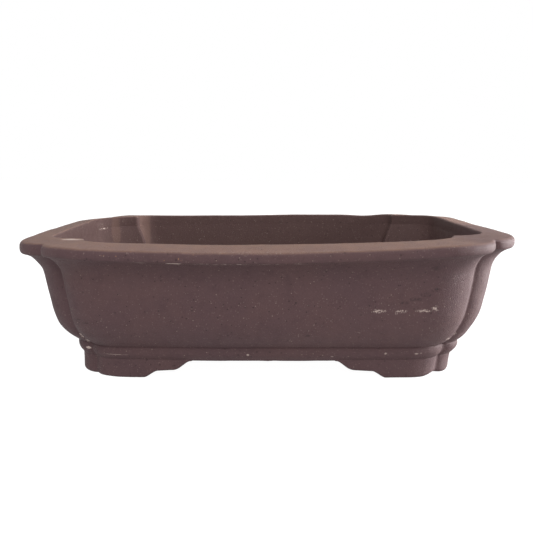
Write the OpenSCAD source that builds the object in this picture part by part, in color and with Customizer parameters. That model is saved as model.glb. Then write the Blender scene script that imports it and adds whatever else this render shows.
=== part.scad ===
// Lobed rectangular bonsai pot in unglazed stoneware, built from slabs, strips and bracket feet.
// Millimetres, +Z up. The origin is on the ground under the middle of the pot, +X is its length.

/* [Pot] */
// Length over the rim, left to right
pot_length = 300; // [260:2:340]
// Depth over the rim, front to back
pot_depth = 230; // [200:2:260]
// Height from the ground to the top of the rim
pot_height = 87.6; // [78:0.2:96]
// How far each long side swells past a straight line
long_bow = 3; // [0:0.5:5]
// How far each short side swells past a straight line
short_bow = 1.5; // [0:0.5:3]

/* [Corner notches] */
// Inset of the notch from the pot's end, at the rim
notch_in_x_rim = 21.8; // [16:0.2:24]
// Inset of the notch from the pot's front or back, at the rim
notch_in_y_rim = 24.3; // [18:0.2:26]
// Inset of the notch from the foot's end
notch_in_x_foot = 12.8; // [9:0.2:15]
// Inset of the notch from the foot's front or back
notch_in_y_foot = 11.8; // [9:0.2:15]
// Length of the rounded end of a long side, at the rim
lobe_long_rim = 32; // [24:1:40]
// Length of the rounded end of a short side, at the rim
lobe_short_rim = 33; // [24:1:40]
// Length of the rounded end of a long side, at the foot
lobe_long_foot = 18.5; // [14:0.5:24]
// Length of the rounded end of a short side, at the foot
lobe_short_foot = 15.5; // [12:0.5:20]

/* [Rim] */
// Width of the rim strip along the front and back
rim_width = 22.2; // [18:0.2:24]
// How much narrower the rim is along the short sides
end_slim = 4.2; // [0:0.2:5]
// How much further the inner corners reach in than the outer notches call for
inner_notch = 4; // [0:0.2:5]
// Thickness of the rim strip at its outer edge
rim_thick = 6.2; // [5:0.2:8]
// How much higher the rim's inner edge is than its outer edge
rim_rise = 2.6; // [0:0.2:3]
// Rounding of the rim's outer top edge
rim_round = 2.4; // [1:0.2:2.6]

/* [Walls] */
// How far the wall leans in for each millimetre that it goes down
batter = 0.178; // [0.1:0.01:0.2]
// Inset of the wall's outer face at its upper straight end
wall_inset = 12.5; // [11:0.5:14]
// Height of the hollow neck under the rim
neck_height = 13; // [10:0.5:13]
// Radius of the hollow neck under the rim
neck_radius = 14.2; // [14.2:0.2:18]
// Radius of the swelling at the foot of the wall
belly_radius = 33; // [30:1:40]
// Thickness of the wall along its straight part
wall_thick = 8.6; // [7:0.2:10]

/* [Floor and band] */
// Thickness of the floor slab
floor_thick = 7.4; // [6:0.2:9]
// Height of the band around the edge of the floor
band_height = 6.6; // [4:0.2:7]
// How far the band stands out from the edge of the floor
band_proud = 2.4; // [1.5:0.1:3]
// Radius of each drainage hole
drain_radius = 11; // [6:0.5:14]
// Distance of each drainage hole from the middle of the floor
drain_offset = 58; // [40:1:75]

/* [Feet] */
// Height of the feet below the floor
foot_height = 11; // [8:0.2:14]
// Inset of the feet and of the floor's edge from the rim
foot_inset = 33.7; // [31:0.1:35]
// Thickness of the bracket feet
foot_thick = 10; // [8:0.5:12]
// Length of a foot's arm along the front or back
foot_arm_long = 59; // [48:1:64]
// Length of a foot's arm along a short side
foot_arm_short = 46; // [42:1:50]
// Length of the part of each arm that reaches the ground
pad_length = 30; // [24:1:32]
// Height of the ledge between the pad and the end of the arm
ledge_height = 4.1; // [3:0.1:5]

/* [Hidden] */

clay = [0.37, 0.29, 0.285];
clay_light = [0.52, 0.43, 0.4];
clay_dark = [0.33, 0.255, 0.255];

half_length = pot_length / 2;
half_depth = pot_depth / 2;

// Heights of the joints between the pieces, from the ground up
floor_bottom = foot_height;
floor_top = floor_bottom + floor_thick;
wall_top = pot_height - rim_rise - rim_thick;
rim_edge_top = pot_height - rim_rise;
neck_start = wall_top - neck_height;
belly_end = floor_top + 24.5;

// Smoothness: steps round a lobe, along a side's middle, and round each curve of a section
arc_steps = 9;
mid_steps = 6;
curve_steps = 6;

function mix(from, to, share) = from + (to - from) * share;

// The outline shrinks inwards as an inset grows; its notches and lobes change evenly with the inset
function notch_x(inset) = half_length - inset - mix(notch_in_x_rim, notch_in_x_foot, inset / foot_inset);
function notch_y(inset) = half_depth - inset - mix(notch_in_y_rim, notch_in_y_foot, inset / foot_inset);
function long_lobe(inset) = mix(lobe_long_rim, lobe_long_foot, inset / foot_inset);
function short_lobe(inset) = mix(lobe_short_rim, lobe_short_foot, inset / foot_inset);

// A side runs along X between its two notches and swells towards +Y:
// [distance from its middle to a notch, notch's height, lobe length, lobe height, bow].
// The share inner is 0 on the outer faces and 1 at the rim's inner edge
function long_side(inset, inner = 0) =
    let (cusp = inset + inner_notch * inner)
    [notch_x(cusp), notch_y(cusp), long_lobe(inset),
     half_depth - inset - long_bow - notch_y(cusp), long_bow];
function short_side(inset, inner = 0) =
    let (cusp = inset + inner_notch * inner)
    [notch_y(cusp), notch_x(cusp), short_lobe(inset),
     half_length - inset + end_slim * inner - short_bow - notch_x(cusp), short_bow];

// Height of a side's outline above its notches, with the bow added
function bowed(side, x, y) = side[1] + y + side[4] * (1 - pow(x / side[0], 2));

// Point on a side's middle stretch
function middle_point(side, x) = [x, bowed(side, x, side[3])];

// Quarter ellipse from the end of the middle stretch to the notch, which it meets head on
function lobe(side) =
    [for (i = [0 : arc_steps])
        let (turn = 90 * i / arc_steps, x = side[0] - side[2] + side[2] * sin(turn))
        [x, bowed(side, x, side[3] * cos(turn))]];

// A whole side, from its left notch to its right one
function side_line(side) =
    let (end = lobe(side), reach = side[0] - side[2])
    concat(
        [for (i = [arc_steps : -1 : 0]) [-end[i][0], end[i][1]]],
        [for (i = [1 : mid_steps - 1]) middle_point(side, mix(-reach, reach, i / mid_steps))],
        end
    );

// Closed outline of the pot at one inset, with its four sides one after the other
function quarter_turn(points, angle) =
    [for (p = points) [p[0] * cos(angle) - p[1] * sin(angle), p[0] * sin(angle) + p[1] * cos(angle)]];
function all_but_last(points) = [for (i = [0 : len(points) - 2]) points[i]];
function outline(inset) =
    let (long = all_but_last(side_line(long_side(inset))),
         short = all_but_last(side_line(short_side(inset))))
    concat(long, quarter_turn(short, -90), quarter_turn(long, 180), quarter_turn(short, 90));

// Part of a circle in a section: points at a radius about a centre, from one angle to another
function arc(centre, radius, from, to, steps) =
    [for (i = [0 : steps]) centre + radius * [cos(mix(from, to, i / steps)), sin(mix(from, to, i / steps))]];

// Quadratic curve from a to c that leaves and arrives in line with b
function bend(a, b, c, steps) =
    [for (i = [0 : steps]) let (t = i / steps) a * pow(1 - t, 2) + b * 2 * t * (1 - t) + c * t * t];

// Outer face of the wall at a height: a straight batter, hollowed into the neck above
// and swelling out of the foot below
function straight_face(height) = wall_inset + batter * (neck_start - height);
function round_off(radius, distance) = radius - sqrt(radius * radius - distance * distance);
function outer_face(height) =
    straight_face(height)
    - round_off(neck_radius, max(0, height - neck_start))
    + round_off(belly_radius, max(0, belly_end - height));

// A strip swept along a side. The section is a closed list of [inset, height, inner] points; each
// end is cut upright through the notch, so neighbouring strips meet in one mitre
module strip(section, lines) {
    stations = len(lines[0]);
    count = len(section);
    points = [for (j = [0 : count - 1]) for (p = lines[j]) [p[0], p[1], section[j][1]]];
    skin = [
        for (j = [0 : count - 1])
            let (here = j * stations, next = ((j + 1) % count) * stations)
            for (i = [0 : stations - 2])
                each [[here + i, next + i, next + i + 1], [here + i, next + i + 1, here + i + 1]]
    ];
    left_end = [for (j = [count - 1 : -1 : 0]) j * stations];
    right_end = [for (j = [0 : count - 1]) j * stations + stations - 1];
    polyhedron(points, concat(skin, [left_end, right_end]), convexity = 4);
}
module long_strip(section) strip(section, [for (p = section) side_line(long_side(p[0], p[2]))]);
module short_strip(section) strip(section, [for (p = section) side_line(short_side(p[0], p[2]))]);

// Places a strip made along +Y on one of the four sides
module on_front() rotate(180) children();
module on_back() children();
module on_left() rotate(90) children();
module on_right() rotate(-90) children();

// Points of a section that all have the same inner share
function with_inner(points, inner) = [for (p = points) [p[0], p[1], inner]];

// The inner foot of the wall spreads into a fillet on the floor
fillet_inset = wall_inset + 30;
fillet_start = belly_end + 1;
fillet_inner = 0.5;
toe_inner = 0.3;
inner_face_start = straight_face(fillet_start) + wall_thick;

// Closed section of a wall, from its outer foot up and round to the inner fillet's toe
wall_section = concat(
    [for (i = [0 : curve_steps + 1])
        let (height = mix(floor_top, belly_end, i / (curve_steps + 1)))
        [outer_face(height), height, 0]],
    [for (i = [0 : curve_steps])
        let (height = neck_start + neck_height * sin(90 * i / curve_steps))
        [outer_face(height), height, 0]],
    [[rim_width, wall_top, 1]],
    bend([inner_face_start, fillet_start, fillet_inner],
         [inner_face_start + 3.5, floor_top + 3.5, fillet_inner],
         [fillet_inset, floor_top, toe_inner], curve_steps)
);

// Closed section of the rim: a strip that slopes up to its inner edge, with rounded edges
rim_foot_round = 1.4;
rim_inner_round = 1.6;
rim_section = concat(
    with_inner(arc([rim_foot_round, wall_top + rim_foot_round], rim_foot_round, 270, 180, 3), 0),
    with_inner(arc([rim_round, rim_edge_top - rim_round], rim_round, 180, 96, 4), 0),
    with_inner(arc([rim_width - rim_inner_round, pot_height - rim_inner_round], rim_inner_round, 96, 0, 3), 1),
    [[rim_width, wall_top, 1]]
);

// Closed section of the band: a flat back against the floor's edge and a half-round face
band_bottom = floor_top - band_height;
band_section = [
    for (i = [0 : 2 * curve_steps])
        let (turn = 180 * i / (2 * curve_steps))
        [foot_inset - band_proud * sin(turn), band_bottom + band_height * (1 - cos(turn)) / 2, 0]
];

// Underside of a foot's arm: flat on the ground, one soft step up to a ledge, and a
// quarter-round at the end of the arm
function soft_step(share) = (1 - cos(180 * share)) / 2;
step_length = 7.5;
function arm_outline(arm) =
    let (end_length = foot_height - ledge_height + 2, ledge_end = arm - end_length)
    concat(
        [for (i = [0 : curve_steps])
            [pad_length + step_length * i / curve_steps, ledge_height * soft_step(i / curve_steps)]],
        [for (i = [0 : curve_steps])
            let (turn = 90 * i / curve_steps)
            [ledge_end + end_length * sin(turn), mix(foot_height, ledge_height, cos(turn))]]
    );

// What is cut from under an arm, as a prism along +Y; X is the distance from the notch
module arm_cutter(arm) {
    clear = 5;
    translate([0, half_length, 0])
    rotate([90, 0, 0])
    linear_extrude(half_length)
    polygon(concat(
        [[pad_length, -clear]],
        arm_outline(arm),
        [[arm + clear, foot_height], [arm + clear, -clear]]
    ));
}

// Corner outline from the end of the long arm, round the notch, to the end of the short arm
function corner_line(inset) =
    let (long = long_side(inset), short = short_side(inset),
         long_end = notch_x(foot_inset) - foot_arm_long, short_end = notch_y(foot_inset) - foot_arm_short,
         turned = [for (p = lobe(short)) [p[1], p[0]]],
         short_tip = middle_point(short, short_end))
    concat(
        [middle_point(long, long_end)],
        lobe(long),
        [for (i = [arc_steps - 1 : -1 : 0]) turned[i]],
        [[short_tip[1], short_tip[0]]]
    );

// One bracket foot, at the back right corner
module foot() {
    inner = corner_line(foot_inset + foot_thick);
    difference() {
        linear_extrude(foot_height)
        polygon(concat(
            corner_line(foot_inset),
            [for (i = [len(inner) - 1 : -1 : 0]) inner[i]]
        ));
        translate([notch_x(foot_inset), 0, 0]) mirror([1, 0, 0]) arm_cutter(foot_arm_long);
        translate([0, notch_y(foot_inset), 0]) rotate(-90) arm_cutter(foot_arm_short);
    }
}

// Flat slab that the walls stand on, with its drainage holes
module floor_slab() {
    color(clay_dark)
    difference() {
        translate([0, 0, floor_bottom]) linear_extrude(floor_thick) polygon(outline(foot_inset));
        for (side = [-1, 1])
            translate([side * drain_offset, 0, floor_bottom - 1])
            cylinder(r = drain_radius, h = floor_thick + 2, $fn = 48);
    }
}

module wall_front() color(clay) on_front() long_strip(wall_section);
module wall_back() color(clay) on_back() long_strip(wall_section);
module wall_left() color(clay) on_left() short_strip(wall_section);
module wall_right() color(clay) on_right() short_strip(wall_section);

module rim_front() color(clay_light) on_front() long_strip(rim_section);
module rim_back() color(clay_light) on_back() long_strip(rim_section);
module rim_left() color(clay_light) on_left() short_strip(rim_section);
module rim_right() color(clay_light) on_right() short_strip(rim_section);

module band_front() color(clay_dark) on_front() long_strip(band_section);
module band_back() color(clay_dark) on_back() long_strip(band_section);
module band_left() color(clay_dark) on_left() short_strip(band_section);
module band_right() color(clay_dark) on_right() short_strip(band_section);

module foot_back_right() color(clay_dark) foot();
module foot_back_left() color(clay_dark) mirror([1, 0, 0]) foot();
module foot_front_right() color(clay_dark) mirror([0, 1, 0]) foot();
module foot_front_left() color(clay_dark) rotate(180) foot();

floor_slab();
wall_front();
wall_back();
wall_left();
wall_right();
rim_front();
rim_back();
rim_left();
rim_right();
band_front();
band_back();
band_left();
band_right();
foot_front_left();
foot_front_right();
foot_back_left();
foot_back_right();
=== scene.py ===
import math

import bpy
import numpy as np
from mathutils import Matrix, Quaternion, Vector, noise


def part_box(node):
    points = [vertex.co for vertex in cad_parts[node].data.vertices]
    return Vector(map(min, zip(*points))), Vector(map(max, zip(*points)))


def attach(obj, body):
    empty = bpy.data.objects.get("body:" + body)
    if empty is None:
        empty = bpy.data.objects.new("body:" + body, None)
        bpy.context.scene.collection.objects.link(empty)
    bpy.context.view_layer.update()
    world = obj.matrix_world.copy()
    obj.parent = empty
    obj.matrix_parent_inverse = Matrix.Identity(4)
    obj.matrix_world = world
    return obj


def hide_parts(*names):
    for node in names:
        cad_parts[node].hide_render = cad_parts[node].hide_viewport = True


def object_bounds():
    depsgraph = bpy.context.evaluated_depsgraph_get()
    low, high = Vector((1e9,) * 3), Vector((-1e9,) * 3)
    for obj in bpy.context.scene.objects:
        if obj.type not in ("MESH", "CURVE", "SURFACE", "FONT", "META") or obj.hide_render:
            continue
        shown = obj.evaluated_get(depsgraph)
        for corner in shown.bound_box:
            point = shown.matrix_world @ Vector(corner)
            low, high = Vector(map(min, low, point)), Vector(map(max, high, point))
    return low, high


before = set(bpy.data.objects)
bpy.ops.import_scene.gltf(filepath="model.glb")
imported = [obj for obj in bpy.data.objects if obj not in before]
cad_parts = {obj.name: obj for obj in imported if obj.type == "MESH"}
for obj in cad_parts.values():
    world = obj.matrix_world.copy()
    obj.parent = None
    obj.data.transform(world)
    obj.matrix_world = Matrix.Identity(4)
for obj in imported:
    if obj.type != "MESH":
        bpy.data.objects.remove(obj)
cad_low, cad_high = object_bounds()


# ---------------------------------------------------------------------------------------------
# Floor slab: a flat slab of leather-hard stoneware, cut to the lobed outline of the foot, with
# two round drainage holes cut through it and their rims wiped soft with a wet finger.
# ---------------------------------------------------------------------------------------------
MM = 0.001
HALF_LENGTH = cad_high.x
HALF_DEPTH = cad_high.y
slab_low, slab_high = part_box("floor_slab")
FLOOR_BOTTOM = slab_low.z
FLOOR_TOP = slab_high.z
FOOT_INSET = HALF_LENGTH - slab_high.x

# The outline's notches and rounded ends: each pair is the size at the rim and at the foot
NOTCH_IN_X = (21.8 * MM, 12.8 * MM)
NOTCH_IN_Y = (24.3 * MM, 11.8 * MM)
LOBE_LONG = (32 * MM, 18.5 * MM)
LOBE_SHORT = (33 * MM, 15.5 * MM)
BOW_LONG = 3 * MM
BOW_SHORT = 1.5 * MM
# Inside, the corners reach further in, the ends are slimmer and the lobes squarer
INNER_NOTCH = 5 * MM
END_SLIM = 4.2 * MM
INNER_SQUARE = 0.4
DEEP_SQUARE = 1.0
RIDGE_REACH = 14.7 * MM
LOBE_STEPS = 30
CREASE_STEPS = 6
MIDDLE_STEPS = 100


def at_inset(pair, inset):
    """A size of the outline at one inset, from its sizes at the rim and at the foot."""
    return pair[0] + (pair[1] - pair[0]) * inset / FOOT_INSET


def notch(inset):
    """The notch of the outline at one inset, as its distances from the pot's middle in X and Y."""
    return (
        HALF_LENGTH - inset - at_inset(NOTCH_IN_X, inset),
        HALF_DEPTH - inset - at_inset(NOTCH_IN_Y, inset),
    )


def side_line(long, inset, crease, inner=0, reach_in=None):
    """One side of the outline, from notch to notch and swelling towards +Y. The corner of each
    notch is softened to the radius crease, up to the middle of the notch. The share inner is
    zero on outer faces and one at the rim's inner edge, and reach_in is how much further in
    the notch lies than the outer notches call for."""
    if reach_in is None:
        reach_in = INNER_NOTCH * inner
    notch_x, notch_y = notch(inset + reach_in)
    if long:
        reach, base, lobe, bow = notch_x, notch_y, at_inset(LOBE_LONG, inset), BOW_LONG
        rise = HALF_DEPTH - inset - bow - notch_y
    else:
        reach, base, lobe, bow = notch_y, notch_x, at_inset(LOBE_SHORT, inset), BOW_SHORT
        rise = HALF_LENGTH - inset + END_SLIM * inner - bow - notch_x
    deeper = reach_in - INNER_NOTCH * inner
    power = 2 / (2 + INNER_SQUARE * inner + DEEP_SQUARE * deeper / RIDGE_REACH)
    meet = crease * (1 - math.sqrt(0.5))
    crease_turn = math.acos((crease / rise) ** (1 / power))
    turn = np.concatenate([
        np.linspace(0, crease_turn, LOBE_STEPS + 1),
        np.linspace(crease_turn, math.acos((meet / rise) ** (1 / power)), CREASE_STEPS + 1)[1:],
    ])
    x = reach - lobe + lobe * np.sin(turn) ** power
    y = rise * np.cos(turn) ** power
    within = np.clip(crease - y, 0, None)
    x = x + crease - np.sqrt(crease ** 2 - within ** 2)
    x[-1], y[-1] = reach + meet, meet
    middle = np.linspace(lobe - reach, reach - lobe, MIDDLE_STEPS + 1)[1:-1]
    x = np.concatenate([-x[::-1], middle, x])
    y = np.concatenate([y[::-1], np.full(len(middle), rise), y])
    return np.stack([x, base + y + bow * (1 - np.clip(x / reach, -1, 1) ** 2)], axis=1)


def turned(points, quarters):
    """Points turned about the pot's middle by a number of quarter turns, anticlockwise."""
    c, s = [(1, 0), (0, 1), (-1, 0), (0, -1)][quarters % 4]
    x, y = points[..., 0].copy(), points[..., 1].copy()
    result = points.copy()
    result[..., 0], result[..., 1] = c * x - s * y, s * x + c * y
    return result


# How the pot moved as it dried and was fired: the rim leans down to the left, its front sags in
# the middle, and its back sags a little and dips near the right end
RIM_LEVEL = FLOOR_TOP + 67.6 * MM
LEAN = 0.0135
LEAN_PIVOT = 82 * MM
FRONT_SAG = 3.6 * MM
FRONT_SAG_REACH = 112 * MM
BACK_SAG = 0.8 * MM
BACK_SAG_REACH = 95 * MM
BACK_DIP = 1.5 * MM
BACK_DIP_X = 84 * MM
BACK_DIP_WIDE = 15 * MM
BACK_START = 60 * MM
BACK_GROW = 30 * MM
# The left end's lip slumped: by how much, how far from the middle it starts, the length it grows
# over, its height above the floor slab and its spread
LIP_SLUMP = 1.0 * MM
SLUMP_START = 118 * MM
SLUMP_GROW = 22 * MM
SLUMP_LEVEL = 61 * MM
SLUMP_SPREAD = 3.2 * MM
# The ends stand out at some heights. Each row, in millimetres: left (-1) or right (1), how much,
# how far from the middle it starts, the length it grows over, its height above the floor slab
# and its spread
END_SWELLS = [
    (-1, 1.4, 118, 18, 55, 5),
    (-1, 1.0, 98, 20, 11, 6),
    (1, 1.9, 103, 9, 0, 6),
    (1, 0.8, 103, 14, 35, 22),
]
# The inner ridges of the two back corners were pulled further in: where, from which height above
# the floor slab, and how far
BACK_RIDGE = (105 * MM, 71 * MM)
BACK_RIDGE_WIDE = 13 * MM
BACK_RIDGE_START = 12 * MM
BACK_RIDGE_GROW = 20 * MM
BACK_RIDGE_PULL = (7.0 * MM, -1.5 * MM)
# Every surface wavers a little: how far, and how many waves to the metre. The seed keeps the
# waver the same each time
WAVER = [(0.35 * MM, 24), (0.10 * MM, 110), (0.035 * MM, 420)]
noise.seed_set(1)
# Knocks and pulls in the soft clay: place, radius and how far it was pushed, in millimetres
DENTS = [
    ((129.6, -91.2, 81.4), 1.9, (-1.6, 1.2, 0.3)),
    ((-133, 33, 85.8), 3.2, (0.4, 0, -1.3)),
    ((-127, 46, 85.8), 2.6, (0.2, 0.1, 0.5)),
    ((-111, -78, 84.3), 3.4, (0.3, 0.5, -0.5)),
    ((-72, -113, 79.8), 2.4, (0.1, 0.5, -0.2)),
    ((-40, -114, 80.8), 3.0, (0, 0.35, -0.2)),
    ((86, -113, 82.8), 3.5, (0, 0.3, -0.3)),
    ((122, 84, 84.8), 4.0, (-0.4, -0.3, -0.6)),
    ((40, -82.5, 15.8), 5.0, (0, 0.3, 0.1)),
    ((-60, -82.5, 15.8), 6.0, (0, 0.25, -0.15)),
    ((70, -81.5, 3.8), 6.0, (0, 0.3, 0)),
    ((-98, -81, 1.8), 5.0, (0.2, 0.2, 0.35)),
    ((126, -90, 78.4), 7.0, (0, 0, 1.2)),
    ((112, -100, 78), 6.5, (0, 0, -0.8)),
    ((102, -72, 2), 6.0, (-0.9, 0, 1.7)),
    ((114, -58, 1), 7.0, (-0.6, 0, 1.9)),
    ((126, -45, 26), 11.0, (-1.9, 0, 0)),
    ((-118, 92, 84), 14.0, (0, 0, 0.9)),
    ((128, 88, 86), 14.0, (0, 0, -0.5)),
]


def ease(share):
    """Zero to one with a soft start and a soft end."""
    share = np.clip(share, 0, 1)
    return share * share * (3 - 2 * share)


def bell(distance, width):
    """One at the middle, falling off to nothing at about twice the width."""
    return np.exp(-(distance / width) ** 2)


def settled(points):
    """Points of the pot as it was cut, moved to where they ended up."""
    p = points.reshape(-1, 3).copy()
    x, y, z = p.T.copy()
    above = z - FLOOR_TOP
    sag = FRONT_SAG * np.clip(-y / HALF_DEPTH, 0, 1) ** 2
    sag *= np.clip(1 - (x / FRONT_SAG_REACH) ** 2, 0, 1)
    dip = BACK_DIP * bell(x - BACK_DIP_X, BACK_DIP_WIDE)
    dip += BACK_SAG * np.clip(1 - (x / BACK_SAG_REACH) ** 2, 0, 1)
    dip *= ease((y - BACK_START) / BACK_GROW)
    high = ease(above / (RIM_LEVEL - FLOOR_TOP))
    p[:, 2] -= high * (LEAN * (LEAN_PIVOT - x) + sag + dip)
    slump = ease((-x - SLUMP_START) / SLUMP_GROW) * bell(above - SLUMP_LEVEL, SLUMP_SPREAD)
    p[:, 2] -= LIP_SLUMP * slump
    for end, swell, *shape in END_SWELLS:
        start, grow, level, spread = np.array(shape) * MM
        p[:, 0] += end * swell * MM * ease((end * x - start) / grow) * bell(above - level, spread)
    near = bell(np.hypot(np.abs(x) - BACK_RIDGE[0], y - BACK_RIDGE[1]), BACK_RIDGE_WIDE)
    near *= ease((above - BACK_RIDGE_START) / BACK_RIDGE_GROW)
    p[:, 0] -= np.sign(x) * BACK_RIDGE_PULL[0] * near
    p[:, 1] -= BACK_RIDGE_PULL[1] * near
    for place, radius, push in DENTS:
        near = bell(np.linalg.norm(p - np.array(place) * MM, axis=1), radius * MM)
        p += near[:, None] * np.array(push) * MM
    shift = np.zeros_like(p)
    for far, waves in WAVER:
        for k, point in enumerate(p):
            shift[k] += np.array(noise.noise_vector(Vector(point) * waves)) * far
    p = np.clip(p + shift, np.array(cad_low), np.array(cad_high))
    return p.reshape(points.shape)


def clay_piece(name, points, faces, node, material):
    """A piece of the pot as a smooth mesh that rides on the pot and stands for its CAD node."""
    mesh = bpy.data.meshes.new(name)
    mesh.from_pydata([tuple(p) for p in points], [], faces)
    mesh.validate()
    mesh.shade_smooth()
    mesh.set_sharp_from_angle(angle=math.radians(50))
    mesh.materials.append(material)
    piece = bpy.data.objects.new(name, mesh)
    bpy.context.scene.collection.objects.link(piece)
    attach(piece, "root")
    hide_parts(node)
    return piece


def wire(tree, kind, settings=None, **inputs):
    """Adds a shader node, with its settings, and its inputs by name as values or as sockets."""
    made = tree.nodes.new(kind)
    for key, value in (settings or {}).items():
        setattr(made, key, value)
    for key, value in inputs.items():
        socket = made.inputs[int(key[1:])] if key[0] == "_" else made.inputs[key.replace("_", " ")]
        if isinstance(value, bpy.types.NodeSocket):
            tree.links.new(value, socket)
        else:
            socket.default_value = value
    return made


def ramp(tree, value, low, high):
    """Zero below low, one above high, and soft between."""
    made = wire(tree, "ShaderNodeMapRange", {"interpolation_type": "SMOOTHSTEP"}, Value=value)
    made.inputs["From Min"].default_value = low
    made.inputs["From Max"].default_value = high
    return made.outputs["Result"]


def maths(tree, operation, a, b):
    """One sum with two numbers or sockets, such as ADD or SUBTRACT."""
    return wire(tree, "ShaderNodeMath", {"operation": operation}, _0=a, _1=b).outputs[0]


def times(tree, a, b):
    return maths(tree, "MULTIPLY", a, b)


def vectors(tree, operation, a, b, output=0):
    """One sum with two vectors or sockets, such as SUBTRACT or DOT_PRODUCT."""
    return wire(tree, "ShaderNodeVectorMath", {"operation": operation}, _0=a, _1=b).outputs[output]


def tint(tree, share, under, over):
    """Colour under with colour over laid on it by share."""
    made = wire(tree, "ShaderNodeMix", {"data_type": "RGBA"}, _0=share, _6=under, _7=over)
    return made.outputs[2]


def clouds(tree, place, scale, detail, rough=0.6):
    """Soft cloudy noise, from zero to one."""
    return wire(
        tree, "ShaderNodeTexNoise", Vector=place, Scale=scale, Detail=detail, Roughness=rough
    ).outputs["Fac"]


def grains(tree, place, cells, share, size):
    """Scattered grains: one in every so many cells, as round spots of a share of the cell."""
    cell = wire(tree, "ShaderNodeTexVoronoi", Vector=place, Scale=cells, Randomness=1.0)
    chosen = wire(tree, "ShaderNodeSeparateColor", Color=cell.outputs["Color"]).outputs[0]
    picked = maths(tree, "LESS_THAN", chosen, share)
    spot = maths(tree, "SUBTRACT", 1.0, ramp(tree, cell.outputs["Distance"], size * 0.5, size))
    return times(tree, picked, spot)


def patch(tree, place, centre, size, ragged=0.0, grain=900):
    """An oval on the surface, one inside and zero outside, with an edge as ragged as asked.
    Centre and size are in millimetres."""
    apart = vectors(tree, "SUBTRACT", place, tuple(c * MM for c in centre))
    apart = vectors(tree, "DIVIDE", apart, tuple(s * MM for s in size))
    reach = wire(tree, "ShaderNodeVectorMath", {"operation": "LENGTH"}, _0=apart).outputs["Value"]
    if ragged:
        wander = maths(tree, "SUBTRACT", clouds(tree, place, grain, 3), 0.5)
        reach = maths(tree, "ADD", reach, times(tree, wander, ragged))
    return maths(tree, "SUBTRACT", 1.0, ramp(tree, reach, 0.6, 1.0))


# Colours of sand grains, pits, the dry skin with painted light on it, dry slip, the clay, its warmer
# clouds and its inside
SAND = (0.165, 0.118, 0.104, 1)
PIT = (0.014, 0.009, 0.009, 1)
DUST_AND_PAINTED_LIGHT = (0.142, 0.083, 0.064, 1)
CHALK = (0.34, 0.27, 0.24, 1)
CLAY = (0.0580, 0.0322, 0.0345, 1)
CLAY_WARM = (0.0640, 0.0350, 0.0355, 1)
INSIDE = (0.0590, 0.0335, 0.0300, 1)
GRAIN_HEIGHT = 0.36 * MM


def scaled(colour, factor):
    """A colour made lighter or darker by a factor."""
    return tuple(c * factor for c in colour[:3]) + (1,)


def stoneware(name, body, warm, marks=()):
    """Unglazed purple-brown stoneware: mottled body, fine sand, dark pits, a browner inside and
    a dry skin, paler where the surface faces up: partly dust, partly painted top light. Marks
    are laid over it in their order."""
    made = bpy.data.materials.new(name)
    made.use_nodes = True
    tree = made.node_tree
    tree.nodes.clear()
    place = wire(tree, "ShaderNodeTexCoord").outputs["Object"]
    normal = wire(tree, "ShaderNodeNewGeometry").outputs["Normal"]
    cloud = clouds(tree, place, 22, 4)
    blotch = clouds(tree, place, 130, 5)
    grit = clouds(tree, place, 1500, 3, 0.75)
    colour = tint(tree, ramp(tree, cloud, 0.35, 0.68), body, warm)
    colour = tint(tree, times(tree, ramp(tree, blotch, 0.48, 0.72), 0.5), colour, scaled(body, 0.84))
    outward = vectors(tree, "DOT_PRODUCT", normal, place, "Value")
    inside = ramp(tree, times(tree, outward, -1.0), 0.015, 0.06)
    colour = tint(tree, times(tree, inside, 0.8), colour, INSIDE)
    # Paler where the surface faces up: partly dry dust, partly painted top light
    upward = ramp(tree, wire(tree, "ShaderNodeSeparateXYZ", Vector=normal).outputs["Z"], 0.55, 0.97)
    dust_and_top_light = maths(tree, "ADD", 0.55, times(tree, ramp(tree, blotch, 0.25, 0.7), 0.4))
    colour = tint(tree, times(tree, upward, dust_and_top_light), colour, DUST_AND_PAINTED_LIGHT)
    specks = ramp(tree, grit, 0.52, 0.85)
    colour = tint(tree, times(tree, specks, 0.65), colour, scaled(body, 2.0))
    hollows = ramp(tree, maths(tree, "SUBTRACT", 1.0, grit), 0.52, 0.85)
    colour = tint(tree, times(tree, hollows, 0.5), colour, scaled(body, 0.55))
    fine_sand = grains(tree, place, 1500, 0.07, 0.42)
    coarse_sand = grains(tree, place, 1050, 0.014, 0.42)
    pits = grains(tree, place, 900, 0.035, 0.42)
    colour = tint(tree, times(tree, fine_sand, 0.6), colour, SAND)
    colour = tint(tree, coarse_sand, colour, SAND)
    colour = tint(tree, times(tree, pits, 0.6), colour, PIT)
    for mark in marks:
        colour = mark(tree, place, colour)
    rough = maths(tree, "ADD", times(tree, blotch, 0.25), 0.55)
    height = maths(tree, "ADD", times(tree, grit, 1.1), times(tree, blotch, 0.8))
    height = maths(tree, "ADD", height, times(tree, coarse_sand, 0.5))
    height = maths(tree, "SUBTRACT", height, pits)
    bump = wire(tree, "ShaderNodeBump", Height=height, Strength=1.0, Distance=GRAIN_HEIGHT)
    shader = wire(tree, "ShaderNodeBsdfPrincipled", Roughness=rough, Normal=bump.outputs[0])
    tree.links.new(colour, shader.inputs["Base Color"])
    shader.inputs["Specular IOR Level"].default_value = 0.15
    out = wire(tree, "ShaderNodeOutputMaterial")
    tree.links.new(shader.outputs[0], out.inputs["Surface"])
    return made


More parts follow.
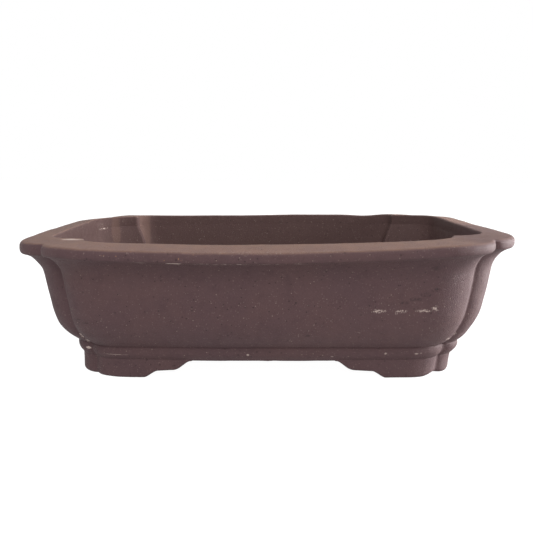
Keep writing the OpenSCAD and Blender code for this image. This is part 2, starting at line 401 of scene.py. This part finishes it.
def foot_marks(tree, place, colour):
    """A pale wiped line and small rubs along the front of the band, and a crumb of dry clay in
    its left notch."""
    for centre, size, share in (
        ((-108.9, -70.5, 16.3), (2.0, 3, 0.9), 0.9),
        ((-94, -83.5, 15), (13, 5, 0.35), 0.35),
        ((69.9, -84, 16.4), (1.0, 5, 0.8), 0.5),
        ((-12, -84, 15.6), (0.9, 5, 0.7), 0.6),
        ((38, -84, 14.4), (1.1, 5, 0.5), 0.3),
        ((88.4, -84, 16.0), (1.7, 5, 0.6), 0.5),
        ((91.4, -84, 16.3), (0.7, 5, 0.6), 0.55),
    ):
        colour = tint(tree, times(tree, patch(tree, place, centre, size, 1.2), share), colour, CHALK)
    return colour


# The slab, bands and feet take a darker copy of the clay: painted shade on the low parts of the pot
BASE_PAINTED_SHADE = 0.94
base_clay = stoneware(
    "stoneware_base", scaled(CLAY, BASE_PAINTED_SHADE), scaled(CLAY_WARM, BASE_PAINTED_SHADE), [foot_marks]
)

HOLE_RADIUS = 11 * MM
HOLE_PLACE = 58 * MM
HOLE_SOFT = 1.2 * MM
EDGE_SOFT = 0.8 * MM
SLAB_CREASE = 1.6 * MM
SPOKES = 180
SPAN_STEPS = 12


def outline(inset, crease):
    """The whole outline at one inset, anticlockwise from the back left notch."""
    long, short = side_line(True, inset, crease)[:-1], side_line(False, inset, crease)[:-1]
    return np.concatenate([long, turned(short, 3), turned(long, 2), turned(short, 1)])


def crossing(loop, centre, angle):
    """Where a ray from centre at an angle leaves a closed loop."""
    ray = np.array([math.cos(angle), math.sin(angle)])
    a, b = loop - centre, np.roll(loop, -1, axis=0) - centre
    side_a, side_b = a[:, 0] * ray[1] - a[:, 1] * ray[0], b[:, 0] * ray[1] - b[:, 1] * ray[0]
    cut = np.flatnonzero(side_a * side_b <= 0)
    share = side_a[cut] / (side_a[cut] - side_b[cut] + 1e-15)
    hits = a[cut] + (b[cut] - a[cut]) * share[:, None]
    return centre + hits[np.argmax(hits @ ray)]


def quarter_round(steps):
    """Shares (1 - sin, 1 - cos) of a quarter turn."""
    turns = [math.pi / 2 * k / steps for k in range(steps + 1)]
    return [(1 - math.sin(t), 1 - math.cos(t)) for t in turns]


def spoke_chain(span, soft):
    """Closed section of the slab along one spoke, as (distance from the hole's axis, height)."""
    start = HOLE_RADIUS + HOLE_SOFT
    run = [start + (span - soft - start) * k / SPAN_STEPS for k in range(1, SPAN_STEPS)]
    lip = [(HOLE_RADIUS + HOLE_SOFT * a, HOLE_SOFT * b) for a, b in quarter_round(4)]
    edge = [(span - soft * a, soft * b) for a, b in quarter_round(3)]
    low_edge = [(span - soft * b, soft * a) for a, b in quarter_round(3)]
    chain = [(r, FLOOR_TOP - d) for r, d in reversed(lip)]
    chain += [(r, FLOOR_TOP) for r in run]
    chain += [(r, FLOOR_TOP - d) for r, d in edge]
    chain += [(r, FLOOR_BOTTOM + d) for r, d in low_edge]
    chain += [(r, FLOOR_BOTTOM) for r in reversed(run)]
    chain += [(r, FLOOR_BOTTOM + d) for r, d in lip]
    return chain


def slab_half(side):
    """Half of the slab, as a closed chain of points for each spoke out from the half's hole."""
    whole = outline(FOOT_INSET, SLAB_CREASE)
    kept = whole[whole[:, 0] * side >= 0]
    kept = kept[np.argsort(np.arctan2(kept[:, 1], kept[:, 0] * side))]
    top_y, bottom_y = kept[-1, 1], kept[0, 1]
    loop = np.concatenate([kept, [[0, top_y], [0, bottom_y]]])
    centre = np.array([side * HOLE_PLACE, 0])
    angles = np.linspace(0, 2 * math.pi, SPOKES, endpoint=False)
    for corner in (math.atan2(y, -side * HOLE_PLACE) for y in (bottom_y, top_y)):
        nearest = np.argmin(np.abs((angles - corner + math.pi) % (2 * math.pi) - math.pi))
        angles[nearest] = corner
    chains = []
    for angle in angles:
        ray = np.array([math.cos(angle), math.sin(angle)])
        out = crossing(loop, centre, angle)
        soft = 0 if abs(out[0]) < 1e-6 else EDGE_SOFT
        chain = spoke_chain(np.linalg.norm(out - centre), soft)
        chains.append([(centre[0] + ray[0] * r, centre[1] + ray[1] * r, z) for r, z in chain])
    return chains


slab_points, slab_faces = [], []
for side in (-1, 1):
    chains = slab_half(side)
    start = len(slab_points)
    length = len(chains[0])
    for chain in chains:
        slab_points.extend(chain)
    for a in range(SPOKES):
        b = (a + 1) % SPOKES
        for j in range(length):
            k = (j + 1) % length
            corners = [start + a * length + j, start + b * length + j]
            corners += [start + b * length + k, start + a * length + k]
            if not all(abs(slab_points[c][0]) < 1e-6 for c in corners):
                slab_faces.append(corners)
slab_points = settled(np.array(slab_points))
clay_piece("floor_slab_clay", slab_points, slab_faces, "floor_slab", base_clay)


# ---------------------------------------------------------------------------------------------
# Bands: four half-round strips of clay, pressed round the edge of the floor slab and mitred in
# the corner notches. Their edges are wiped onto the slab below and onto the walls above.
# ---------------------------------------------------------------------------------------------
SIDES = {"front": (True, 2), "back": (True, 0), "left": (False, 1), "right": (False, 3)}
# The rim's inner edge stands this much higher at the back than at the front
BACK_TILT = 0.8 * MM
TILT_REACH = 70 * MM
TILT_POWER = 4


def skin(count, stations):
    """Faces round a swept form of so many rails, each of so many points, with its two ends."""
    faces = []
    for j in range(count):
        here, there = j * stations, (j + 1) % count * stations
        for i in range(stations - 1):
            faces.append((here + i, here + i + 1, there + i + 1, there + i))
    faces.append(tuple(j * stations for j in range(count)))
    faces.append(tuple(j * stations + stations - 1 for j in reversed(range(count))))
    return faces


def strip_mesh(section, side):
    """A strip swept along one side. The section is a closed list of (inset, height, crease,
    inner share), and where a corner ridge stands inside, also how far in it reaches."""
    long, quarters = SIDES[side]
    rails = []
    for inset, height, *shape in section:
        line = side_line(long, inset, *shape)
        rails.append(np.column_stack([line, np.full(len(line), height)]))
    points = turned(np.array(rails), quarters)
    inners = np.array([row[3] for row in section])[:, None]
    high = np.clip((points[..., 2] - FLOOR_TOP) / (RIM_LEVEL - FLOOR_TOP), 0, 1) ** TILT_POWER
    backward = ease((points[..., 1] + TILT_REACH) / (2 * TILT_REACH))
    points[..., 2] += BACK_TILT * inners * high * backward
    return settled(points.reshape(-1, 3)), skin(*points.shape[:2])


def rounded(centre_inset, centre_height, radius, start, end, steps, crease, inner=0):
    """Part of a circle in a section, from one angle to another, in degrees. Zero points inwards."""
    arc = []
    for k in range(steps + 1):
        angle = math.radians(start + (end - start) * k / steps)
        arc.append((
            centre_inset + radius * math.cos(angle), centre_height + radius * math.sin(angle),
            crease, inner,
        ))
    return arc


OUTER_CREASE = 1.8 * MM
BAND_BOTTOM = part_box("band_front")[0].z
GROOVE = FLOOR_TOP + 1.4 * MM
BAND_PROUD = 1.4 * MM
BAND_WIPE_LOW = 0.1 * MM
BAND_WIPE_HIGH = 2.4 * MM
BAND_ROUND_POWER = 0.8
BAND_STEPS = 16
BAND_CROWDING = 1.5


def band_face(height):
    """Inset of the band's rounded face, which ends in the groove under the wall's belly."""
    share = (height - BAND_BOTTOM) / (GROOVE - BAND_BOTTOM)
    wipe = BAND_WIPE_LOW + (BAND_WIPE_HIGH - BAND_WIPE_LOW) * share
    return FOOT_INSET - wipe - BAND_PROUD * max(0, math.sin(math.pi * share)) ** BAND_ROUND_POWER


band_section = [(FOOT_INSET, BAND_BOTTOM, OUTER_CREASE, 0)]
for k in range(BAND_STEPS + 1):
    height = BAND_BOTTOM + (FLOOR_TOP - BAND_BOTTOM) * (k / BAND_STEPS) ** BAND_CROWDING
    band_section.append((band_face(height), height, OUTER_CREASE, 0))
band_section.append((FOOT_INSET, FLOOR_TOP, OUTER_CREASE, 0))
for side in SIDES:
    points, faces = strip_mesh(band_section, side)
    clay_piece(f"band_{side}_clay", points, faces, f"band_{side}", base_clay)


# ---------------------------------------------------------------------------------------------
# Walls: four slabs of clay that stand on the floor slab. Each leans outwards, is hollowed under
# the rim and swells at the foot, and its ends curve in to the notches, where they are luted.
# ---------------------------------------------------------------------------------------------
WALL_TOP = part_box("wall_front")[1].z
BATTER = 0.178
WALL_INSET = 12.5 * MM
NECK_HEIGHT = 13 * MM
NECK_RADIUS = 14.2 * MM
NECK_FLARE = 0.5 * MM
FLARE_HEIGHT = 4 * MM
BELLY_HEIGHT = 24.5 * MM
BELLY_RADIUS = 33 * MM
WALL_THICK = 8.6 * MM
RIM_WIDTH = 22.2 * MM
INNER_CREASE = 1.8 * MM
NECK_START = WALL_TOP - NECK_HEIGHT
BELLY_END = FLOOR_TOP + BELLY_HEIGHT
# Over the groove the outer face is tucked in, up to here
TUCK_TOP = FLOOR_TOP + 7 * MM
TUCK_POWER = 1.7
WIPE_STEPS = 5
# A point half way over the wall's top, with its inner share
TOP_MIDDLE = 12 * MM
TOP_MIDDLE_INNER = 0.4
# Inside, the corner ridges grow downwards to the fillet, which bends onto the floor at its toe
RIDGE_POWER = 1.8
FILLET_START = BELLY_END + 1 * MM
FILLET_INNER = 0.5
BEND_OFFSET = 3.5 * MM
BEND_REACH = 11 * MM
TOE_INSET = 42.5 * MM
TOE_INNER = 0.3
TOE_REACH = 1.5 * MM


def straight_face(height):
    """Inset of the leaning wall, without its neck and belly."""
    return WALL_INSET + BATTER * (NECK_START - height)


def outer_face(height):
    """Inset of the wall's outer face, with the neck above and the belly below."""
    above, below = max(0, height - NECK_START), max(0, BELLY_END - height)
    neck = NECK_RADIUS - math.sqrt(NECK_RADIUS ** 2 - above ** 2)
    belly = BELLY_RADIUS - math.sqrt(BELLY_RADIUS ** 2 - below ** 2)
    return straight_face(height) - neck + belly


tuck = band_face(GROOVE) - outer_face(GROOVE)
wall_section = []
for height in np.linspace(FLOOR_TOP, GROOVE, WIPE_STEPS + 1)[:-1]:
    wall_section.append((band_face(height), height, OUTER_CREASE, 0))
for share in np.linspace(0, 1, 11)[:-1]:
    height = GROOVE + (TUCK_TOP - GROOVE) * share
    inset = outer_face(height) + tuck * (1 - share) ** TUCK_POWER
    wall_section.append((inset, height, OUTER_CREASE, 0))
for height in np.linspace(TUCK_TOP, NECK_START, 28):
    wall_section.append((outer_face(height), height, OUTER_CREASE, 0))
for height in np.linspace(NECK_START, WALL_TOP, 17)[1:]:
    flare = NECK_FLARE * max(0, 1 - (WALL_TOP - height) / FLARE_HEIGHT) ** 2
    wall_section.append((outer_face(height) - flare, height, OUTER_CREASE, 0))
wall_section.append((TOP_MIDDLE, WALL_TOP, OUTER_CREASE, TOP_MIDDLE_INNER))
wall_section.append((RIM_WIDTH, WALL_TOP, INNER_CREASE, 1))
fillet_inset = straight_face(FILLET_START) + WALL_THICK
for share in np.linspace(0, 1, 14)[1:]:
    wall_section.append((
        RIM_WIDTH + (fillet_inset - RIM_WIDTH) * share,
        WALL_TOP + (FILLET_START - WALL_TOP) * share,
        INNER_CREASE,
        1 + (FILLET_INNER - 1) * share,
        INNER_NOTCH + (RIDGE_REACH - INNER_NOTCH) * (1 - (1 - share) ** RIDGE_POWER),
    ))
bend_start = np.array([fillet_inset, FILLET_START, FILLET_INNER, RIDGE_REACH])
bend_middle = np.array(
    [fillet_inset + BEND_OFFSET, FLOOR_TOP + BEND_OFFSET, FILLET_INNER, BEND_REACH]
)
bend_toe = np.array([TOE_INSET, FLOOR_TOP, TOE_INNER, TOE_REACH])
for share in np.linspace(0, 1, 15)[1:]:
    left = 1 - share
    inset, height, inner, reach = (
        bend_start * left ** 2 + bend_middle * 2 * share * left + bend_toe * share ** 2
    )
    wall_section.append((inset, height, INNER_CREASE, inner, reach))


# The joint under the front of the rim, and the line of dry slip that lies just below it
JOINT_REACH = 90 * MM
JOINT_STEPS = 25
JOINT_INSET = 2.2 * MM
JOINT_DROP = 0.25 * MM
JOINT_CORE = 0.12 * MM
JOINT_EDGE = 0.55 * MM


def joint_line(height, inset):
    """Height of a level joint on the front, after settling, as a cubic in X."""
    along = np.linspace(-JOINT_REACH, JOINT_REACH, JOINT_STEPS)
    level = [np.full(JOINT_STEPS, inset - HALF_DEPTH), np.full(JOINT_STEPS, height)]
    joint = settled(np.column_stack([along, *level]))
    return np.polyfit(joint[:, 0], joint[:, 2], 3)


def seam_marks(tree, place, colour):
    """Broken pale line of dry slip in the joint under the front of the rim."""
    part = wire(tree, "ShaderNodeSeparateXYZ", Vector=place).outputs
    level = 0.0
    for factor in joint_line(WALL_TOP, JOINT_INSET):
        level = maths(tree, "ADD", times(tree, level, part["X"]), float(factor))
    off = maths(tree, "SUBTRACT", part["Z"], level)
    off = maths(tree, "ABSOLUTE", maths(tree, "ADD", off, JOINT_DROP), 0.0)
    line = maths(tree, "SUBTRACT", 1.0, ramp(tree, off, JOINT_CORE, JOINT_EDGE))
    stretched = vectors(tree, "MULTIPLY", place, (0.35, 1.0, 1.0))
    broken = ramp(tree, clouds(tree, stretched, 280, 4, 0.75), 0.52, 0.59)
    run = patch(tree, place, (-26, -112, 76.6), (52, 12, 9))
    share = times(tree, times(tree, line, broken), run)
    return tint(tree, share, colour, CHALK)


def painted_highlight_bands(tree, place, colour):
    """Two soft pale upright bands inside the back left corner: painted highlights on the corner ridge.
    """
    for centre, size, share in (
        ((-99, 87, 72), (5.6, 8, 44), 0.34),
        ((-119, 69.5, 72), (4.2, 4.5, 44), 0.28),
    ):
        # Each band is a painted highlight on the inner corner ridge
        highlight_band = patch(tree, place, centre, size)
        colour = tint(tree, times(tree, highlight_band, share), colour, DUST_AND_PAINTED_LIGHT)
    return colour


def wall_marks(tree, place, colour):
    """Kiln scuffs and a smoky smear on the front's right, rubs on the left end and in the front
    notches, a hair scratch and small dark specks."""
    fine = ramp(tree, clouds(tree, place, 1150, 3, 0.7), 0.49, 0.55)
    for centre, size, share in (
        ((62.2, -99, 45.4), (4.8, 6, 1.3), 0.95),
        ((75.5, -99, 45.2), (3.6, 6, 1.2), 0.8),
        ((72.5, -99, 44.4), (1.2, 6, 1.5), 0.5),
        ((88, -99, 45.5), (5.6, 6, 1.1), 0.85),
        ((94.6, -99, 46.8), (2.8, 6, 2.4), 0.8),
        ((-128, 63, 77), (5, 7, 2.6), 0.95),
        ((-111.6, -75, 25.4), (1.6, 4, 3.2), 0.8),
        ((-109, -71.8, 21), (1.6, 4, 2.2), 0.8),
        ((107.9, -80.3, 25), (2.8, 5, 1.3), 0.85),
        ((112.4, -76, 27), (1.6, 4, 1.8), 0.6),
    ):
        rub = times(tree, patch(tree, place, centre, size, 0.9), fine)
        colour = tint(tree, times(tree, rub, share), colour, CHALK)
    smoke = ramp(tree, clouds(tree, place, 620, 4, 0.75), 0.40, 0.56)
    for centre, size, share in (
        ((76.4, -100, 50.2), (3.0, 8, 1.2), 0.4),
        ((82.6, -100, 52.4), (4.6, 8, 1.5), 0.45),
        ((88.6, -101, 55.2), (4.4, 8, 1.6), 0.45),
        ((94.0, -101, 57.8), (3.2, 8, 1.4), 0.5),
        ((92.4, -104, 71.0), (3.6, 8, 1.5), 0.45),
        ((102, -104, 63.8), (8, 8, 6), 0.18),
    ):
        smear = times(tree, patch(tree, place, centre, size, 1.0, 420), smoke)
        colour = tint(tree, times(tree, smear, share), colour, PIT)
    for centre, size, share in (
        ((-109.0, -89, 38.2), (2.8, 4, 0.5), 0.5),
        ((-105.0, -91, 36.4), (2.4, 4, 0.5), 0.5),
        ((15, -100, 50.4), (0.7, 8, 0.8), 0.6),
        ((96.6, -84, 19.8), (1.0, 6, 0.8), 0.8),
        ((22.4, -96, 29.8), (1.8, 8, 1.0), 0.4),
    ):
        speck = patch(tree, place, centre, size, 0.9, 420)
        colour = tint(tree, times(tree, speck, share), colour, PIT)
    # The pale bands inside the back left corner are painted highlights
    return seam_marks(tree, place, painted_highlight_bands(tree, place, colour))


wall_clay = stoneware("stoneware_body", CLAY, CLAY_WARM, [wall_marks])
for side in SIDES:
    points, faces = strip_mesh(wall_section, side)
    clay_piece(f"wall_{side}_clay", points, faces, f"wall_{side}", wall_clay)


# ---------------------------------------------------------------------------------------------
# Rim: four flat strips of clay laid on the tops of the walls and mitred at the notches. The
# outer edge is rounded, and the top was rubbed smooth, which left it a little paler.
# ---------------------------------------------------------------------------------------------
RIM_THICK = 6.2 * MM
RIM_RISE = 1.0 * MM
RIM_ROUND = 2.8 * MM
RIM_FOOT_ROUND = 3.6 * MM
RIM_FOOT_TURN = 45
RIM_INNER_ROUND = 1.3 * MM
RIM_TOP_TURN = 93
RIM_CREASE = 2.0 * MM
EDGE_TOP = WALL_TOP + RIM_THICK
inner_centre = RIM_WIDTH - RIM_INNER_ROUND
rim_foot_rise = RIM_FOOT_ROUND * math.sin(math.radians(RIM_FOOT_TURN))
rim_section = rounded(
    RIM_FOOT_ROUND, WALL_TOP + rim_foot_rise, RIM_FOOT_ROUND, 180 + RIM_FOOT_TURN, 180, 6, OUTER_CREASE
)
rim_section += rounded(
    RIM_ROUND, EDGE_TOP - RIM_ROUND, RIM_ROUND, 180, RIM_TOP_TURN, 10, OUTER_CREASE
)
for share in np.linspace(0, 1, 18)[1:-1]:
    inset = RIM_ROUND + (inner_centre - RIM_ROUND) * share
    rim_section.append((inset, EDGE_TOP + RIM_RISE * share, RIM_CREASE, share))
inner_level = EDGE_TOP + RIM_RISE - RIM_INNER_ROUND
rim_section += rounded(
    inner_centre, inner_level, RIM_INNER_ROUND, RIM_TOP_TURN, 0, 7, RIM_CREASE, 1
)
rim_section.append((RIM_WIDTH, WALL_TOP, INNER_CREASE, 1))

RUST = (0.20, 0.105, 0.060, 1)


def rim_marks(tree, place, colour):
    """Pale rubs along the front edge and on the left end, a cleaner right end, rusty grains under
    the lip, a pale chip on the front left inner edge and two dark nicks."""
    grit = ramp(tree, clouds(tree, place, 1000, 3, 0.7), 0.54, 0.68)
    for centre, size, share in (
        ((-10, -112, 82.8), (70, 5.5, 5), 0.30),
        ((96, -105, 83.8), (26, 7, 5), 0.16),
        ((-100, -104, 81.8), (30, 7, 5), 0.16),
        ((-129.5, 61, 79), (4, 8, 2.4), 0.9),
        ((128, -90, 81.8), (5, 4, 3), 0.25),
    ):
        rub = times(tree, patch(tree, place, centre, size, 0.8, 500), grit)
        colour = tint(tree, times(tree, rub, share), colour, CHALK)
    fresh = patch(tree, place, (134, -62, 86), (36, 80, 12))
    colour = tint(tree, times(tree, fresh, 0.6), colour, CLAY_WARM)
    chip = patch(tree, place, (-114.5, -77.6, 83.2), (7.5, 2.6, 2.6), 1.0)
    colour = tint(tree, times(tree, chip, 0.85), colour, CHALK)
    rusty = patch(tree, place, (-50, -114, 78.8), (48, 6, 4))
    rust = times(tree, grains(tree, place, 780, 0.10, 0.34), rusty)
    colour = tint(tree, times(tree, rust, 0.7), colour, RUST)
    for centre, size in (((129.4, -91, 81.6), (1.3, 2.4, 1.3)), ((-133, 33, 84.8), (2.6, 3, 1.6))):
        colour = tint(tree, times(tree, patch(tree, place, centre, size, 0.7), 0.75), colour, PIT)
    # The pale bands inside the back left corner are painted highlights
    return seam_marks(tree, place, painted_highlight_bands(tree, place, colour))


rim_clay = stoneware("stoneware_rim", CLAY, CLAY_WARM, [rim_marks])
for side in SIDES:
    points, faces = strip_mesh(rim_section, side)
    clay_piece(f"rim_{side}_clay", points, faces, f"rim_{side}", rim_clay)


# ---------------------------------------------------------------------------------------------
# Feet: four L-shaped brackets of clay luted under the corners of the floor slab. Each is cut
# like a cloud: a pad on the ground, a soft step up to a ledge, and a long curve at the end.
# ---------------------------------------------------------------------------------------------
FOOT_THICK = 10 * MM
ARM_SHORT = 46 * MM
STEP_LENGTH = 9 * MM
LEDGE_HEIGHT = 4.2 * MM
LEDGE_SLOPE = 0.05
END_LENGTH = 12 * MM
END_LEAD = 1.2
FOOT_SOFT = 2.0 * MM
THIN_SOFT = 0.45
FEATHER = 0.1 * MM
# Under the slab the clay is smeared up onto the slab's edge
SMEAR_HEIGHT = 1.3 * MM
SMEAR_LIP = 0.2 * MM
SMEAR_PROUD = 0.1 * MM
SMEAR_SINK = 0.3 * MM
ARM_STEPS = 60
ARM_CROWDING = 0.8
# Each foot: which way it is turned, and the lengths of its long arm and of its pads
FEET = {
    "front_left": (-1, -1, 58.2 * MM, 28.8 * MM),
    "front_right": (1, -1, 63.5 * MM, 32 * MM),
    "back_left": (-1, 1, 60 * MM, 30 * MM),
    "back_right": (1, 1, 58 * MM, 30 * MM),
}


def underside(distance, arm, pad):
    """Height of a foot's underside at a distance from the notch along an arm."""
    height = LEDGE_HEIGHT * ease((distance - pad) / STEP_LENGTH)
    height = height + LEDGE_SLOPE * np.clip(distance - pad - STEP_LENGTH, 0, None)
    end = ease(np.clip((distance - arm + END_LENGTH) / END_LENGTH, 0, 1) ** END_LEAD)
    height = height + (FLOOR_BOTTOM - height) * end
    return np.minimum(height, FLOOR_BOTTOM - FEATHER)


def corner_line(inset, arm_long):
    """The outline round the back right corner, from the tip of the long arm to the short one's."""
    arms = []
    foot_x, foot_y = notch(FOOT_INSET)
    for long, tip in ((True, foot_x - arm_long), (False, foot_y - ARM_SHORT)):
        line = side_line(long, inset, OUTER_CREASE)
        lobe = line[-(LOBE_STEPS + CREASE_STEPS + 1):]
        share = np.linspace(0, 1, ARM_STEPS, endpoint=False) ** ARM_CROWDING
        x = tip + (lobe[0, 0] - tip) * share
        arms.append(np.concatenate([np.column_stack([x, np.interp(x, *line.T)]), lobe]))
    return np.concatenate([arms[0], arms[1][::-1][1:, ::-1]])


def foot_mesh(flip_x, flip_y, arm_long, pad):
    """The points and faces of one foot, made at the back right corner and mirrored to its own."""
    foot_x, foot_y = notch(FOOT_INSET)

    def row(inset, low_share, soft_share, lift=0.0):
        """A row of the section at an inset. Low share one is the underside and zero the slab,
        and soft share is how much of the edge's rounding is left above the underside."""
        line = corner_line(inset, arm_long)
        on_long = np.arange(len(line)) < ARM_STEPS + LOBE_STEPS + CREASE_STEPS + 1
        distance = np.where(on_long, foot_x - line[:, 0], foot_y - line[:, 1])
        bottom = underside(np.clip(distance, 0, None), np.where(on_long, arm_long, ARM_SHORT), pad)
        soft = np.minimum(FOOT_SOFT, THIN_SOFT * (FLOOR_BOTTOM - bottom))
        low = bottom + soft * soft_share
        return np.column_stack([line, FLOOR_BOTTOM + (low - FLOOR_BOTTOM) * low_share + lift])

    rows = [
        row(FOOT_INSET + SMEAR_SINK, 0, 1, SMEAR_HEIGHT + 2 * SMEAR_LIP),
        row(FOOT_INSET - SMEAR_PROUD, 0, 1, SMEAR_HEIGHT - SMEAR_LIP),
    ]
    for share in np.linspace(0, 1, 7):
        rows.append(row(FOOT_INSET - SMEAR_PROUD * (1 - share), share, 1))
    for k in range(1, 8):
        angle = math.pi / 2 * k / 7
        rows.append(row(FOOT_INSET + FOOT_SOFT * (1 - math.cos(angle)), 1, 1 - math.sin(angle)))
    for share in (0.35, 0.7):
        rows.append(row(FOOT_INSET + FOOT_SOFT + (FOOT_THICK - 2 * FOOT_SOFT) * share, 1, 0))
    for k in range(5):
        angle = math.pi / 2 * k / 4
        inset = FOOT_INSET + FOOT_THICK - FOOT_SOFT * (1 - math.sin(angle))
        rows.append(row(inset, 1, 1 - math.cos(angle)))
    rows.append(row(FOOT_INSET + FOOT_THICK, 0, 0))
    points = np.array(rows) * (flip_x, flip_y, 1)
    faces = skin(*points.shape[:2])
    if flip_x * flip_y < 0:
        faces = [face[::-1] for face in faces]
    return settled(points.reshape(-1, 3)), faces


for name, shape in FEET.items():
    points, faces = foot_mesh(*shape)
    clay_piece(f"foot_{name}_clay", points, faces, f"foot_{name}", base_clay)


# ---------------------------------------------------------------------------------------------
# Studio: a plain pale floor that glows like a light table, a soft light low on the right and a
# wide one high in front, and the camera in front of the pot, a little above its rim.
# ---------------------------------------------------------------------------------------------
GROUND_SIZE = 8
GROUND_DROP = 0.2 * MM
GROUND_GREY = 0.15
GROUND_GLOW = 0.98
bpy.ops.mesh.primitive_plane_add(size=GROUND_SIZE, location=(0, 0, -GROUND_DROP))
ground = bpy.context.object
ground.name = "studio_floor"
paper = bpy.data.materials.new("pale_paper")
paper.use_nodes = True
sheet = paper.node_tree.nodes["Principled BSDF"].inputs
sheet["Base Color"].default_value = (GROUND_GREY, GROUND_GREY, GROUND_GREY, 1)
sheet["Roughness"].default_value = 0.95
sheet["Specular IOR Level"].default_value = 0.0
sheet["Emission Color"].default_value = (1, 1, 1, 1)
sheet["Emission Strength"].default_value = GROUND_GLOW
ground.data.materials.append(paper)

world = bpy.data.worlds.new("studio")
bpy.context.scene.world = world
world.use_nodes = True
sky = world.node_tree.nodes["Background"].inputs
sky["Color"].default_value = (1, 1, 1, 1)
sky["Strength"].default_value = 1.0


def soft_light(name, place, width, height, power):
    """A soft box turned to the middle of the pot."""
    lamp = bpy.data.lights.new(name, "AREA")
    lamp.shape = "RECTANGLE"
    lamp.size, lamp.size_y, lamp.energy = width, height, power
    made = bpy.data.objects.new(name, lamp)
    made.location = place
    made.rotation_euler = (LIT_POINT - Vector(place)).to_track_quat("-Z", "Y").to_euler()
    bpy.context.scene.collection.objects.link(made)


LIT_POINT = Vector((0, 0, 50 * MM))
soft_light("right_soft", (0.95, 0.10, 0.18), 0.35, 0.5, 37)
soft_light("front_soft", (-0.1, -1.1, 0.9), 1.2, 0.6, 13.5)

# The camera's turns are in radians, its sensor and lens in millimetres
CAMERA_PLACE = (-7.87 * MM, -472.5 * MM, 128.0 * MM)
CAMERA_TURN = 0.0169
CAMERA_DIP = 0.1517
CAMERA_ROLL = 0.0070
SENSOR = 36
LENS = 45.8227
camera_data = bpy.data.cameras.new("camera")
camera_data.sensor_width = SENSOR
camera_data.lens = LENS
camera_data.clip_start = 0.01
camera = bpy.data.objects.new("camera", camera_data)
camera.location = CAMERA_PLACE
forward = Vector((
    math.sin(CAMERA_TURN) * math.cos(CAMERA_DIP),
    math.cos(CAMERA_TURN) * math.cos(CAMERA_DIP),
    -math.sin(CAMERA_DIP),
))
camera.rotation_mode = "QUATERNION"
camera.rotation_quaternion = forward.to_track_quat("-Z", "Y")
camera.rotation_quaternion.rotate(Quaternion(forward, -CAMERA_ROLL))
bpy.context.scene.collection.objects.link(camera)
bpy.context.scene.camera = camera
bpy.context.scene.view_settings.view_transform = "Standard"
